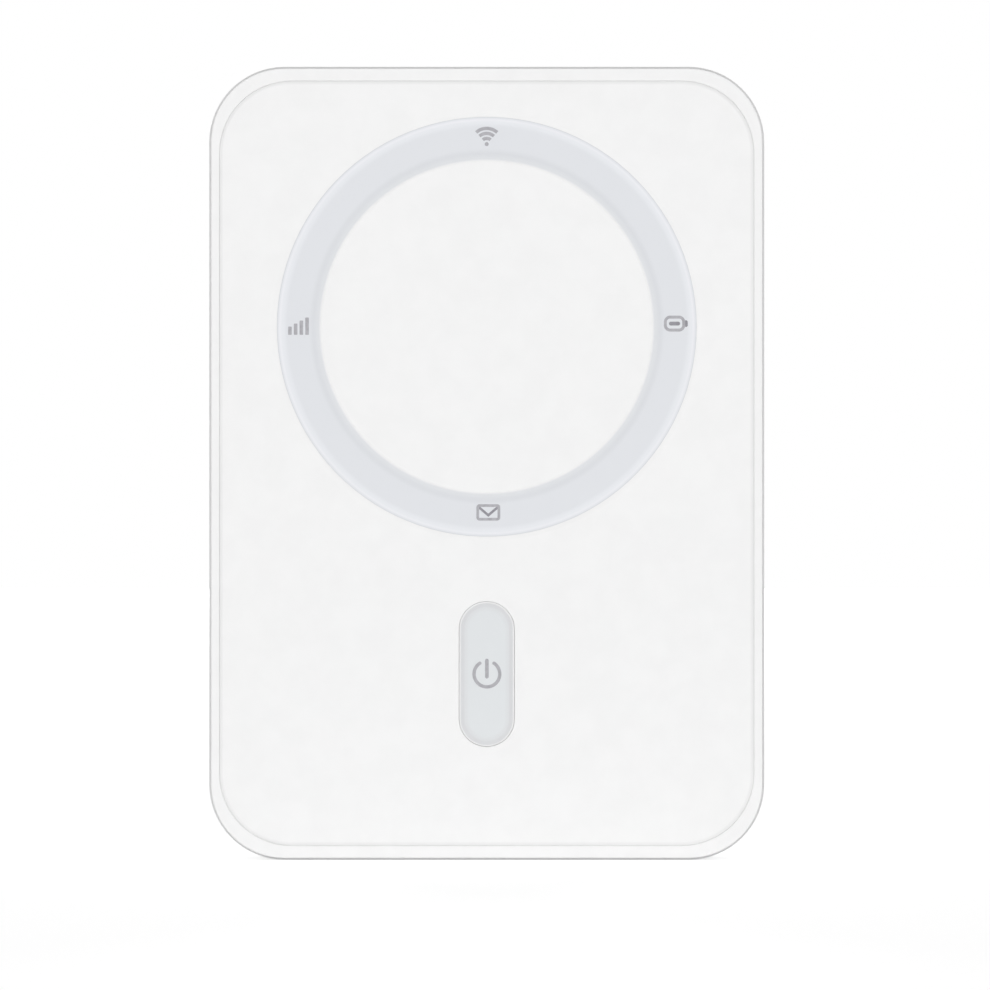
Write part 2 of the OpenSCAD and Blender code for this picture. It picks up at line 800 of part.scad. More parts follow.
// Film aerial flat on the housing's top end wall.
module main_antenna() {
    color("#c98f4a") upright()
        block_at(0, cavity[1] / 2 - film[2] / 2, film_z, film_z + film[1], [top_film_l, film[2]]);
}

// Film aerial flat on the housing's right wall.
module diversity_antenna() {
    color("#c98f4a") upright()
        block_at(cavity[0] / 2 - film[2] / 2, side_film_y, film_z, film_z + film[1], [film[2], film[0]]);
}

// Spring clips on the board's edge, each reaching out to its film.
module antenna_clips() {
    color("#d8b24a") upright() {
        for (turn = [0, 180]) rotate(turn)
            translate([0, turn == 0 ? side_film_y : -side_film_y, 0])
                clip(board[0] / 2, cavity[0] / 2 - film[2]);
        translate([top_clip_x, 0, 0]) rotate(90) clip(board_end_y, cavity[1] / 2 - film[2]);
    }
}

// One clip along +x: a foot on the board, a rise, and an arm that ends at the film.
module clip(edge_x, film_x) {
    arm_z = board_top_z + clip_h;
    foot_x = edge_x - clip_set;
    block_at(foot_x + clip_foot / 2, 0, board_top_z, board_top_z + clip_t, [clip_foot, clip_w]);
    block_at(foot_x + clip_t / 2, 0, board_top_z, arm_z, [clip_t, clip_w]);
    block_at((foot_x + film_x) / 2, 0, arm_z - clip_t, arm_z, [film_x - foot_x, clip_w]);
}

// ---- Battery ----

// Block on the board's rear that reaches down beside the pack, with a slot for each blade.
module battery_connector() {
    color("#26282b") upright() difference() {
        block_at(block_x, block_y, block_z, board_z, block);
        at_contacts() block_at(0, bay_end_y, blade_z - blade_slot[1] / 2, blade_z + blade_slot[1] / 2,
            [blade_slot[0], 2 * blade_slot[2]]);
    }
}

// Bent spring blades that press on the pack's terminals.
module battery_blades() {
    nose_y = pack_end_y + terminal_recess - eps - blade_r;
    back = nose_y - (bay_end_y - blade_slot[2]);
    color("#d8b24a") upright() at_contacts() translate([-blade_w / 2, nose_y, blade_z])
        rotate([90, 0, 90]) linear_extrude(blade_w) difference() {
            blade_outline(blade_r, back);
            blade_outline(blade_r - blade_t, back + 1);
        }
}

// Rounded nose with straight legs that run back by a length.
module blade_outline(r, back) {
    circle(r);
    translate([-back, -r]) square([back, 2 * r]);
}

// Wrapped cell with soft corners and edges.
module battery_pack() {
    cell_l = battery_l - end_cap_l;
    color("#3a4046") upright() translate([0, pack_end_y + end_cap_l + cell_l / 2, 0])
        rounded_slab([battery_w, cell_l, pack_corner_r], pack_z, pack_top_z, pack_edge_r, pack_edge_r);
}

// Moulded end of the pack, with a pocket for each terminal.
module battery_end_cap() {
    color("#1d1e20") upright() difference() {
        translate([0, pack_end_y + end_cap_l / 2, 0])
            rounded_slab([battery_w, end_cap_l, pack_corner_r], pack_z, pack_top_z, pack_edge_r, pack_edge_r);
        at_contacts() block_at(0, pack_end_y, blade_z - terminal[2] / 2, blade_z + terminal[2] / 2,
            [terminal[0], 2 * (terminal_recess + terminal[1])]);
    }
}

module battery_terminals() {
    y = pack_end_y + terminal_recess + terminal[1] / 2;
    color("#d8b24a") upright() at_contacts()
        block_at(0, y, blade_z - terminal[2] / 2, blade_z + terminal[2] / 2, terminal);
}

// ---- Rear ----

// Frame that closes the housing behind the board and holds the battery.
module inner_frame() {
    color("#3b3e42") upright() difference() {
        union() {
            slab(skirt, frame_z, frame_top_z);
            wall_ring(skirt, frame_wall, skirt_z, frame_z + eps);
            bay_wall();
            frame_ribs();
        }
        block_at(block_x, block_y, bay_wall_z - 1, frame_top_z + 1,
            [block[0] + 2 * block_gap, block[1] + 2 * block_gap]);
        block_at(sim_window_x, sim_y, frame_z - 1, frame_top_z + 1, sim_window);
        block_at(0, port_end_y - body_h / 2, port_z - port_h / 2 - port_gap, frame_top_z + 1,
            [port_w + 4 * port_gap, body_h + 1]);
        translate([reset_x, reset_y, 0]) rod(pinhole_r, frame_z - 1, frame_top_z + 1);
        at_bosses() rod(screw_d / 2 + screw_gap, frame_z - 1, frame_top_z + 1);
        at_snaps() translate([-snap_reach, 0, snap_z])
            cube([2 * snap_groove, snap_l + 1, 2 * snap_h], center = true);
    }
}

// Wall round the battery bay, down from the frame's floor, with a scoop to lift the pack out by.
module bay_wall() {
    scoop_r = (scoop_w * scoop_w / 4 + scoop_depth * scoop_depth) / (2 * scoop_depth);
    difference() {
        block_at(0, battery_y, bay_wall_z, frame_z + eps, bay_walls);
        block_at(0, battery_y, bay_wall_z - 1, frame_z + 1, bay);
        translate([0, bay_top_y, bay_wall_z + scoop_depth - scoop_r]) rotate([90, 0, 0])
            cylinder(h = 4 * frame_wall, r = scoop_r, center = true);
    }
}

// Stiffening ribs from the bay out to the skirt.
module frame_ribs() {
    side_l = skirt[0] / 2 - bay_walls[0] / 2 - frame_wall / 2;
    end_l = bay_end_y + skirt[1] / 2 - 1.5 * frame_wall;
    for (x = [-1, 1], y = rib_ys)
        block_at(x * (bay_walls[0] + side_l) / 2, y, frame_z - rib_h, frame_z + eps, [side_l, rib_t]);
    for (x = rib_xs)
        block_at(x, bay_end_y - frame_wall - end_l / 2, frame_z - rib_h, frame_z + eps, [rib_t, end_l]);
}

module frame_screws() {
    color("#b9bcc0") upright() at_bosses() screw(screw_d, screw_l, frame_head, frame_z);
}

// Clip-on back: a dished shell with snap bumps inside its wall and a notch to lift it by.
module back_cover() {
    notch_r = (notch_w * notch_w / 4 + notch_depth * notch_depth) / (2 * notch_depth);
    color("#f4f4f4") upright() {
        difference() {
            rounded_slab(body, 0, cover_h, seam_edge_r, rear_edge_r);
            swept(cover_inner, cover_wall, cover_h + 1)
                rounded_profile(cover_inner[2], cover_wall, cover_h + 1, 0, rear_edge_r - cover_wall);
            translate([body_w / 2, notch_y, cover_h - notch_depth + notch_r]) rotate([0, 90, 0])
                cylinder(h = 4 * cover_wall, r = notch_r, center = true);
        }
        at_snaps() translate([0, 0, snap_z]) cube([2 * snap_bump, snap_l, snap_h], center = true);
        for (y = cover_rib_ys) block_at(0, y, cover_wall - eps, cover_wall + cover_rib_h, [battery_w, rib_t]);
    }
}

module cover_foam() {
    color("#55585c") upright() block_at(0, battery_y, cover_wall, pack_z, [0.6 * battery_w, 0.6 * battery_l]);
}

front_housing();
face_plate();
plate_adhesive();
indicator_ring();
power_button();
light_shrouds();
status_leds();
power_switch();
power_switch_plunger();
main_board();
board_screws();
modem_shield();
modem_chip();
memory_chip();
radio_shield();
charger_chip();
power_inductor();
usb_shell();
usb_tongue();
usb_contacts();
sim_socket();
sim_contacts();
reset_switch();
reset_plunger();
wifi_antenna();
main_antenna();
diversity_antenna();
antenna_clips();
battery_connector();
battery_blades();
battery_pack();
battery_end_cap();
battery_terminals();
inner_frame();
frame_screws();
back_cover();
cover_foam();
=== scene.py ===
# %% [markdown]
# # A pocket mobile hotspot
# The device is a slim white plastic body with an inset face plate. A pale blue-grey ring on it
# carries four small icons, and a pill-shaped power key sits below the ring. Behind them are a
# circuit board, a battery in its bay, and a clip-on back cover.
#
# The solid pieces come from the CAD model, at their real size, so this script never moves or
# reshapes them. It gives every piece its material, prints the icons, and sets up the photograph.

# %% Load the solid model as a fixed frame
import json
import math

import bmesh
import bpy
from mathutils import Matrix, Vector
from mathutils.bvhtree import BVHTree

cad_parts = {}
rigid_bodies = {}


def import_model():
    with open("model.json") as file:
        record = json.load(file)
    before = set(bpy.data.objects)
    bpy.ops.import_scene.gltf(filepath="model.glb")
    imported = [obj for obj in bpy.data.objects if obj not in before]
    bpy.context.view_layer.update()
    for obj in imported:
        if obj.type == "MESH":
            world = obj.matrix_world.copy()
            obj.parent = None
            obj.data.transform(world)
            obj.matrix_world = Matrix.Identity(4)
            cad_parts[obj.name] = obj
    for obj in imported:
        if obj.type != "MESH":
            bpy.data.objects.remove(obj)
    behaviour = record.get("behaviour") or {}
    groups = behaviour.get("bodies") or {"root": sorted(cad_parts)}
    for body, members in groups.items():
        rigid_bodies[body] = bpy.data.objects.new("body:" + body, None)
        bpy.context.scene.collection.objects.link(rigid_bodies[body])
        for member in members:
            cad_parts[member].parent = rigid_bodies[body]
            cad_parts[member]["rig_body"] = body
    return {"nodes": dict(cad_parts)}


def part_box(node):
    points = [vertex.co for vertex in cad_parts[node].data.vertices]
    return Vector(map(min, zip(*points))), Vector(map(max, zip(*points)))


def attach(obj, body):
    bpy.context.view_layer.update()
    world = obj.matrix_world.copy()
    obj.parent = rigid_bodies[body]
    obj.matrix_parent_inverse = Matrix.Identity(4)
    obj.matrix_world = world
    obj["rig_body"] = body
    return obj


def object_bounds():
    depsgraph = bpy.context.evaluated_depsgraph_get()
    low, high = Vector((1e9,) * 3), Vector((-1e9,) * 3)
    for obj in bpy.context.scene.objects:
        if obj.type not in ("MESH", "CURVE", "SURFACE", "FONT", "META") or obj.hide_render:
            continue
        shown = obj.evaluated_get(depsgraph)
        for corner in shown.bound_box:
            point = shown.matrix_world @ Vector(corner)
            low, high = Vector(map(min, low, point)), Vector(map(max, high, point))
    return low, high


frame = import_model()
nodes = frame["nodes"]
cad_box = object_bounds()
MM = 0.001

# %% [markdown]
# ## Places in the photograph
# A few places are read off the photograph, in its own frame of 990 by 990. The four edges
# and the body's known height give the scale. The others say where each feature's middle lies.

# %% Image points
W = H = 990
L = max(W, H)
BODY_LEFT, BODY_RIGHT = 209.1, 764.4
BODY_TOP, BODY_BOTTOM = 66.9, 859.7
RING_MIDDLE = (484.8, 326.4)
KEY_MIDDLE = (486.7, 673.5)
WIFI_ICON = (486.7, 136.4)
SIGNAL_ICON = (298.5, 326.2)
BATTERY_ICON = (675.8, 323.6)
MESSAGE_ICON = (488.3, 512.4)
POWER_ICON = (486.9, 673.6)

body_h = cad_box[1].z - cad_box[0].z
metres_per_pixel = body_h / (BODY_BOTTOM - BODY_TOP)
print(f"one pixel is {metres_per_pixel / MM:.4f} mm at the body's outline")

# %% [markdown]
# ## The camera
# Only the front shows, with no side wall in view, so the camera looks straight along +Y from far
# away through a long lens. A parallel (orthographic) camera would be simpler still, but a real
# lens keeps the faint perspective of a photograph. The picture's middle lies a little right of
# the body's middle and below it, so the camera stands there. It is aimed first, and then no lens
# shift is needed.

# %% Camera
CAMERA_DISTANCE = 0.9
SENSOR = 36.0
SHIFT_X = SHIFT_Y = 0.0
ON_SIDE = 0.01 * MM

top_line = cad_box[1].z - ON_SIDE
top_corners = [v.co for v in nodes["front_housing"].data.vertices if v.co.z > top_line]
outline_y = min(v.y for v in top_corners)
body_middle = (cad_box[0] + cad_box[1]) / 2
aim_x = body_middle.x + (W / 2 - (BODY_LEFT + BODY_RIGHT) / 2) * metres_per_pixel
aim_z = body_middle.z - (H / 2 - (BODY_TOP + BODY_BOTTOM) / 2) * metres_per_pixel

camera_data = bpy.data.cameras.new("camera")
camera_data.sensor_fit = "AUTO"
camera_data.sensor_width = SENSOR
camera_data.lens = SENSOR * CAMERA_DISTANCE / (L * metres_per_pixel)
camera_data.shift_x, camera_data.shift_y = SHIFT_X, SHIFT_Y
camera = bpy.data.objects.new("camera", camera_data)
camera.location = (aim_x, outline_y - CAMERA_DISTANCE, aim_z)
camera.rotation_euler = (math.radians(90), 0, 0)
bpy.context.scene.collection.objects.link(camera)
bpy.context.scene.camera = camera
bpy.context.view_layer.update()
print(f"camera with a {camera_data.lens:.0f} mm lens, {CAMERA_DISTANCE} m from the outline")

# %% [markdown]
# Two functions go between the object and its picture. The first says where a place shows. The
# second sends a ray from the camera through a point of the picture and takes the place where it
# meets a piece. A ray that slips through a gap takes the nearest place within the body's depth.

# %% From the picture to the object and back
SEARCH_STEPS = 20


def camera_axes():
    """The camera's right, up and backward directions."""
    turn = camera.matrix_world.to_3x3()
    return turn.col[0], turn.col[1], turn.col[2]


def to_pixel(place):
    """Where a place in the scene lands in the picture."""
    right, up, back = camera_axes()
    away = place - camera.matrix_world.translation
    reach = L * camera_data.lens / SENSOR / -away.dot(back)
    x = W / 2 - SHIFT_X * L + away.dot(right) * reach
    y = H / 2 + SHIFT_Y * L - away.dot(up) * reach
    return x, y


def place_on(carrier, point):
    """The place on a finished piece behind a point of the picture, and its surface direction."""
    right, up, back = camera_axes()
    x, y = point
    ray = right * (x - W / 2 + SHIFT_X * L) + up * (H / 2 - y + SHIFT_Y * L)
    ray = (ray - back * (L * camera_data.lens / SENSOR)).normalized()
    start = camera.matrix_world.translation
    tree = BVHTree.FromObject(carrier, bpy.context.evaluated_depsgraph_get())
    place, normal, _, _ = tree.ray_cast(start, ray)
    if place is None:
        depths = [CAMERA_DISTANCE + i * MM for i in range(SEARCH_STEPS)]
        hits = [tree.find_nearest(start + ray * depth) for depth in depths]
        place, normal, _, _ = min(hits, key=lambda hit: hit[3])
    return place, normal


# %% [markdown]
# ## Colours and materials
# Colours are written the way a screen shows them, as sRGB hex values. The renderer works with
# light, so one function turns them into linear values. The view transform is Standard, which
# shows a colour as it is written, where the default one would grey the whites.
#
# Each finish starts from the real material: how strongly it reflects, how rough it is, and what
# the mould or the machine left on it. Pictures could be wrapped round the pieces instead, but
# patterns worked out from a place on the piece need no unwrapping and stay sharp. They are laid
# out in metres, so a grain of 0.4 mm has a scale of 1 / 0.4 mm. Blender's noise gives numbers
# from 0 to 1, but hardly any of them below 0.3 or above 0.7.

# %% Colour, node and material helpers
bpy.context.scene.view_settings.view_transform = "Standard"
NOISE_LOW, NOISE_HIGH = 0.3, 0.7


def linear(hex_colour):
    """An sRGB hex colour as linear red, green, blue and alpha."""
    parts = [int(hex_colour[i : i + 2], 16) / 255 for i in (1, 3, 5)]
    return [c / 12.92 if c <= 0.04045 else ((c + 0.055) / 1.055) ** 2.4 for c in parts] + [1.0]


def add(tree, kind, sockets=None, stops=(), **settings):
    """Adds a node. Each socket takes a value or a link, and a ramp takes rising (place, hex) stops."""
    made = tree.nodes.new(kind)
    for name, value in settings.items():
        setattr(made, name, value)
    for name, value in (sockets or {}).items():
        if isinstance(value, bpy.types.NodeSocket):
            tree.links.new(value, made.inputs[name])
        else:
            made.inputs[name].default_value = value
    for i, (place, colour) in enumerate(stops):
        ramp = made.color_ramp.elements
        stop = ramp[i] if i < 2 else ramp.new(place)
        stop.position, stop.color = place, linear(colour)
    return made


def finish(name, colour, roughness, grain, depth, spread=0.05, metallic=0.0, ior=1.5, squeeze=(1, 1, 1)):
    """A material with an even grain that bumps it, and makes it a little more and less rough.

    grain and depth are the grain's real width and height, and squeeze packs it along an axis.
    """
    made = bpy.data.materials.new(name)
    made.use_nodes = True
    tree = made.node_tree
    shader = tree.nodes["Principled BSDF"]
    shader.inputs["Base Color"].default_value = linear(colour)
    shader.inputs["Metallic"].default_value = metallic
    shader.inputs["IOR"].default_value = ior
    coords = add(tree, "ShaderNodeTexCoord").outputs["Object"]
    laid = add(tree, "ShaderNodeMapping", {"Vector": coords, "Scale": squeeze})
    skin = add(
        tree, "ShaderNodeTexNoise",
        {"Vector": laid.outputs["Vector"], "Scale": 1 / grain, "Detail": 2.0},
    ).outputs["Fac"]
    uneven = add(
        tree, "ShaderNodeMapRange",
        {"Value": skin, "From Min": NOISE_LOW, "From Max": NOISE_HIGH,
         "To Min": roughness - spread, "To Max": roughness + spread},
    )
    bump = add(tree, "ShaderNodeBump", {"Height": skin, "Strength": 1.0, "Distance": depth})
    tree.links.new(uneven.outputs["Result"], shader.inputs["Roughness"])
    tree.links.new(bump.outputs["Normal"], shader.inputs["Normal"])
    return made, tree, shader, coords


def dress(made, *names):
    """Puts a material on CAD nodes, by name."""
    for name in names:
        nodes[name].data.materials.clear()
        nodes[name].data.materials.append(made)
    print(made.name, "on", ", ".join(names))


# %% [markdown]
# ### White PC/ABS shells
# The bezel, the face plate and the back cover are injection moulded from white PC/ABS. The mould
# is spark eroded, which leaves an even, very fine grain, so the plastic looks satin, not glossy.
# A plain white would look like paper. The small grain here breaks up the reflections, and a slow
# noise shifts the white by less than one part in a hundred, as it does over the photograph's face.
# The real grain is about 0.1 mm, under one pixel, so it is drawn at 0.4 mm to show at all.

# %% White shells
SHELL_GRAIN, SHELL_GRAIN_DEPTH = 0.4 * MM, 0.003 * MM
SHELL_MOTTLE = 3.0 * MM


def white_shell(name):
    """White PC/ABS: the grain, and the slow drift of its white."""
    made, tree, shader, coords = finish(name, "#f3f3f3", 0.42, SHELL_GRAIN, SHELL_GRAIN_DEPTH, ior=1.53)
    mottle = add(
        tree, "ShaderNodeTexNoise", {"Vector": coords, "Scale": 1 / SHELL_MOTTLE, "Detail": 3.0}
    )
    tint = add(
        tree, "ShaderNodeValToRGB", {"Fac": mottle.outputs["Fac"]},
        stops=[(0.35, "#f2f2f2"), (0.65, "#f4f4f4")],
    )
    tree.links.new(tint.outputs["Color"], shader.inputs["Base Color"])
    return made, tree, shader, coords


shell, *_ = white_shell("pc_abs_white_spark_eroded")
dress(shell, "front_housing", "back_cover")

# %% [markdown]
# ### The seam round the face plate
# The plate is the same plastic. Its edge is eased over a quarter of a millimetre, and the seam
# reads as a soft grey line. Light alone draws only a thin part of it, so a ramp over the distance
# from the edge paints shade along the seam: as the outline is a rounded rectangle, that is the
# distance from a smaller rectangle, through the middles of its corners. The painted shade is
# listed by millimetres from the edge, and multiplies the white. A Mix node has sockets for
# numbers, vectors and colours under the same names, so the colour ones go by number.

# %% Face plate
# Painted shade: the plate's white grows darker towards its edge, along the seam.
SEAM_PAINTED_SHADE = [(-0.5, "#ffffff"), (-0.25, "#f6f6f6"), (0.0, "#f2f2f2")]
MIX_SHARE, MIX_COLOUR_A, MIX_COLOUR_B, MIX_COLOUR_OUT = 0, 6, 7, 2


def past_core(tree, coords, middle, core):
    """Distance past a rectangle of half size core, which lies in the face round a middle."""
    centred = add(tree, "ShaderNodeVectorMath", {0: coords, 1: middle}, operation="SUBTRACT")
    folded = add(tree, "ShaderNodeVectorMath", {0: centred.outputs[0]}, operation="ABSOLUTE")
    past = add(tree, "ShaderNodeVectorMath", {0: folded.outputs[0], 1: core}, operation="SUBTRACT")
    clear = add(tree, "ShaderNodeVectorMath", {0: past.outputs[0], 1: (0, 0, 0)}, operation="MAXIMUM")
    return add(tree, "ShaderNodeVectorMath", {0: clear.outputs[0]}, operation="LENGTH").outputs["Value"]


plate_low, plate_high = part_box("face_plate")
plate_middle, plate_half = (plate_low + plate_high) / 2, (plate_high - plate_low) / 2
side_line = plate_high.x - ON_SIDE
plate_side = [v.co.z for v in nodes["face_plate"].data.vertices if v.co.x > side_line]
plate_corner = plate_high.z - max(plate_side)
plate_core = (plate_half.x - plate_corner, 1, plate_half.z - plate_corner)

plate, tree, shader, coords = white_shell("pc_abs_white_face_plate")
white = shader.inputs["Base Color"].links[0].from_socket
off_edge = past_core(tree, coords, plate_middle, plate_core)
seam_shade_reach = -SEAM_PAINTED_SHADE[0][0]
near = plate_corner - seam_shade_reach * MM
share = add(tree, "ShaderNodeMapRange", {"Value": off_edge, "From Min": near, "From Max": plate_corner})
stops = [(1 + at / seam_shade_reach, colour) for at, colour in SEAM_PAINTED_SHADE]
# The painted seam shade, multiplied into the plate's white below.
painted_seam_shade = add(tree, "ShaderNodeValToRGB", {"Fac": share.outputs["Result"]}, stops=stops)
seam_shaded_white = add(
    tree, "ShaderNodeMix",
    {MIX_SHARE: 1.0, MIX_COLOUR_A: white, MIX_COLOUR_B: painted_seam_shade.outputs["Color"]},
    data_type="RGBA", blend_type="MULTIPLY",
)
tree.links.new(seam_shaded_white.outputs[MIX_COLOUR_OUT], shader.inputs["Base Color"])
dress(plate, "face_plate")
print(f"plate corners of {plate_corner / MM:.2f} mm")

# %% [markdown]
# ### The light guide ring and the key
# Both are moulded from milky polycarbonate in a polished mould. The ring is dished: its flat lies
# below the face, between two slopes. A colour ramp over the distance from the ring's axis paints
# light and shade on it: painted light on the outer slope, for light carried through the thin
# plastic, and on the inner wall, which lightens the hairline gap there; painted shade at the foot
# of the inner slope, and along the outer edge where it meets the plate. The shader could scatter
# light inside the plastic instead. That was tried: light then leaks into the hairline gaps, and
# draws dark lines that the real ring doesn't show. The distance comes from the ring's own size,
# and the ramp is the same all the way round.

# %% Milky polycarbonate
MILKY_RIPPLE, MILKY_RIPPLE_DEPTH = 0.6 * MM, 0.002 * MM


def milky(name, colour):
    """Milky polycarbonate with a smooth moulded skin."""
    return finish(name, colour, 0.34, MILKY_RIPPLE, MILKY_RIPPLE_DEPTH, spread=0.03, ior=1.585)


def colour_by(tree, shader, distance, near, far, bands):
    """Colours a surface by a distance, with (distance, hex) bands that run softly together."""
    share = add(tree, "ShaderNodeMapRange", {"Value": distance, "From Min": near, "From Max": far})
    stops = [((at - near) / (far - near), colour) for at, colour in bands]
    soft = add(tree, "ShaderNodeValToRGB", {"Fac": share.outputs["Result"]}, stops=stops)
    soft.color_ramp.interpolation = "EASE"
    tree.links.new(soft.outputs["Color"], shader.inputs["Base Color"])


# %% Ring
ring_low, ring_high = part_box("indicator_ring")
ring_middle = (ring_low + ring_high) / 2
from_axis = [v.co - ring_middle for v in nodes["indicator_ring"].data.vertices]
ring_radii = [math.hypot(v.x, v.z) for v in from_axis]
ring_inner, ring_outer = min(ring_radii), max(ring_radii)
# Painted light at the inner wall and the outer slope, painted shade at the inner slope's foot and the
# outer edge.
RING_PAINTED_LIGHT_AND_SHADE = [
    (ring_inner, "#eeeef0"),
    (ring_inner + 0.25 * MM, "#dfe1e4"),
    (ring_inner + 0.9 * MM, "#dadce0"),
    (ring_inner + 1.6 * MM, "#e0e2e6"),
    (ring_outer - 1.4 * MM, "#e0e2e6"),
    (ring_outer - 0.7 * MM, "#e7e9ed"),
    (ring_outer - 0.4 * MM, "#ecedf1"),
    (ring_outer - 0.2 * MM, "#e4e6ea"),
    (ring_outer, "#d5d6da"),
]

guide, tree, shader, coords = milky("polycarbonate_milky_light_guide", "#e0e2e6")
centred = add(tree, "ShaderNodeVectorMath", {0: coords, 1: ring_middle}, operation="SUBTRACT")
level = add(tree, "ShaderNodeVectorMath", {0: centred.outputs[0], 1: (1, 0, 1)}, operation="MULTIPLY")
radius = add(tree, "ShaderNodeVectorMath", {0: level.outputs[0]}, operation="LENGTH")
colour_by(tree, shader, radius.outputs["Value"], ring_inner, ring_outer, RING_PAINTED_LIGHT_AND_SHADE)
dress(guide, "indicator_ring")
print(f"ring from {ring_inner / MM:.2f} to {ring_outer / MM:.2f} mm")

# %% [markdown]
# The key's rim is broadly rounded. A colour ramp over the distance from the pill's own middle line
# paints shade in a band just inside its edge, and painted light on its wall at the very edge, which
# lightens the hairline gap round it. The key's size is measured on the front millimetre, because
# the flange behind it is wider.

# %% Key
KEY_FACE_DEPTH = 1.0 * MM
key_low, key_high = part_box("power_button")
key_middle = (key_low + key_high) / 2
key_front = [v.co for v in nodes["power_button"].data.vertices if v.co.y < key_low.y + KEY_FACE_DEPTH]
key_half_w = max(c.x for c in key_front) - key_middle.x
key_half_l = max(c.z for c in key_front) - key_middle.z
# Painted shade in a band just inside the key's edge, and painted light on its wall at the edge.
KEY_PAINTED_SHADE_AND_LIGHT = [
    (key_half_w - 1.9 * MM, "#dfe2e4"),
    (key_half_w - 1.3 * MM, "#dfe2e4"),
    (key_half_w - 0.8 * MM, "#dcdee0"),
    (key_half_w - 0.5 * MM, "#d7d8da"),
    (key_half_w - 0.25 * MM, "#d6d7d9"),
    (key_half_w - 0.1 * MM, "#e8e8e9"),
    (key_half_w, "#ffffff"),
]

key_plastic, tree, shader, coords = milky("polycarbonate_milky_key", "#dfe2e4")
off_line = past_core(tree, coords, key_middle, (0, 1, key_half_l - key_half_w))
colour_by(tree, shader, off_line, KEY_PAINTED_SHADE_AND_LIGHT[0][0], key_half_w, KEY_PAINTED_SHADE_AND_LIGHT)
dress(key_plastic, "power_button")
print(f"key face {2 * key_half_w / MM:.2f} by {2 * key_half_l / MM:.2f} mm")

# %% [markdown]
# ### Dark plastics
# The inner frame is dark grey PC/ABS from a sandblasted mould: matt, with a grain that can be
# felt. The connector blocks and plungers are black liquid crystal polymer, which stands the heat
# of soldering. Its glass fibres show as faint streaks along the flow. The battery's end cap is
# plain black polycarbonate, a little smoother than the frame.

# %% Inner frame
frame_plastic, *_ = finish("pc_abs_dark_grey_sandblasted", "#282a2d", 0.62, 0.35 * MM, 0.01 * MM)
dress(frame_plastic, "inner_frame")

# %% Connector blocks and plungers
connector_plastic, *_ = finish(
    "liquid_crystal_polymer_black", "#17181a", 0.48, 0.25 * MM, 0.003 * MM,
    spread=0.12, squeeze=(4, 4, 1),
)
dress(connector_plastic, "usb_tongue", "battery_connector", "power_switch_plunger", "reset_plunger")

# %% Battery end cap
cap_plastic, *_ = finish("polycarbonate_black", "#1d1e20", 0.45, 0.3 * MM, 0.004 * MM)
dress(cap_plastic, "battery_end_cap")

# %% [markdown]
# ### Rubber, foam and tape
# The collars round the lights are silicone rubber, dull, with a little dust on them. The pad in the
# cover is closed-cell polyurethane foam, cut from a sheet: the cut opens the cells at its surface,
# and they show as rounded pits about 0.5 mm wide. A Voronoi ramp paints shade in the pits, darkest
# at each cell's middle. The tape under the plate is clear acrylic glue on a white film.

# %% Rubber collars
rubber, *_ = finish("silicone_rubber_black", "#202124", 0.72, 0.25 * MM, 0.005 * MM, spread=0.08)
dress(rubber, "light_shrouds")

# %% Foam pad
FOAM_CELL = 0.5 * MM
foam, tree, shader, coords = finish("polyurethane_foam_grey", "#4c4e52", 0.93, FOAM_CELL, 0.03 * MM)
cells = add(tree, "ShaderNodeTexVoronoi", {"Vector": coords, "Scale": 1 / FOAM_CELL})
# Painted shade in the open cells: darkest at each cell's middle.
painted_pit_shade = add(
    tree, "ShaderNodeValToRGB", {"Fac": cells.outputs["Distance"]},
    stops=[(0.1, "#26282b"), (0.6, "#53565a")],
)
tree.links.new(painted_pit_shade.outputs["Color"], shader.inputs["Base Color"])
dress(foam, "cover_foam")

# %% Tape
tape, *_ = finish("acrylic_glue_on_white_film", "#d8d8d4", 0.35, 1.2 * MM, 0.01 * MM, spread=0.1)
dress(tape, "plate_adhesive")

# %% [markdown]
# ### Chips, inductor and lights
# Chips are moulded in black epoxy that is filled with fine silica, which gives them a speckle.
# The inductor is pressed ferrite, dark grey and gritty. The lights are drops of clear silicone
# over a yellow phosphor.

# %% Chips
SILICA_SPECK = 0.12 * MM
epoxy, tree, shader, coords = finish("epoxy_mould_compound_black", "#232427", 0.55, 0.2 * MM, 0.003 * MM)
specks = add(tree, "ShaderNodeTexNoise", {"Vector": coords, "Scale": 1 / SILICA_SPECK, "Detail": 1.0})
filler = add(
    tree, "ShaderNodeValToRGB", {"Fac": specks.outputs["Fac"]},
    stops=[(0.4, "#1f2022"), (0.6, "#292a2d"), (0.72, "#45474a")],
)
tree.links.new(filler.outputs["Color"], shader.inputs["Base Color"])
dress(epoxy, "modem_chip", "memory_chip", "charger_chip")

# %% Inductor
ferrite, *_ = finish("ferrite_pressed_grey", "#454648", 0.7, 0.15 * MM, 0.012 * MM)
dress(ferrite, "power_inductor")

# %% Lights
phosphor, *_ = finish("silicone_over_yellow_phosphor", "#efe29a", 0.2, 0.2 * MM, 0.004 * MM)
dress(phosphor, "status_leds")

# %% [markdown]
# ### The board
# The board is glass fibre in epoxy with copper tracks on it, under a green solder mask. The mask
# is smooth and glossy, and it looks lighter where copper lies under it, which is how the tracks
# show. A real layout would need hundreds of drawn lines. Rows of long bricks with gaps of 0.2 mm
# give the same look. They run along the board in some areas and up it in others, and pale dots
# stand for the plated holes that join one side to the other.

# %% Solder mask over tracks
TRACK_PITCH, TRACK_GAP, TRACK_RUN = 0.9 * MM, 0.2 * MM, 7.3 * MM
HOLE_SPACING, HOLE_RADIUS, AREA_SIZE = 2.6 * MM, 0.22 * MM, 9.0 * MM

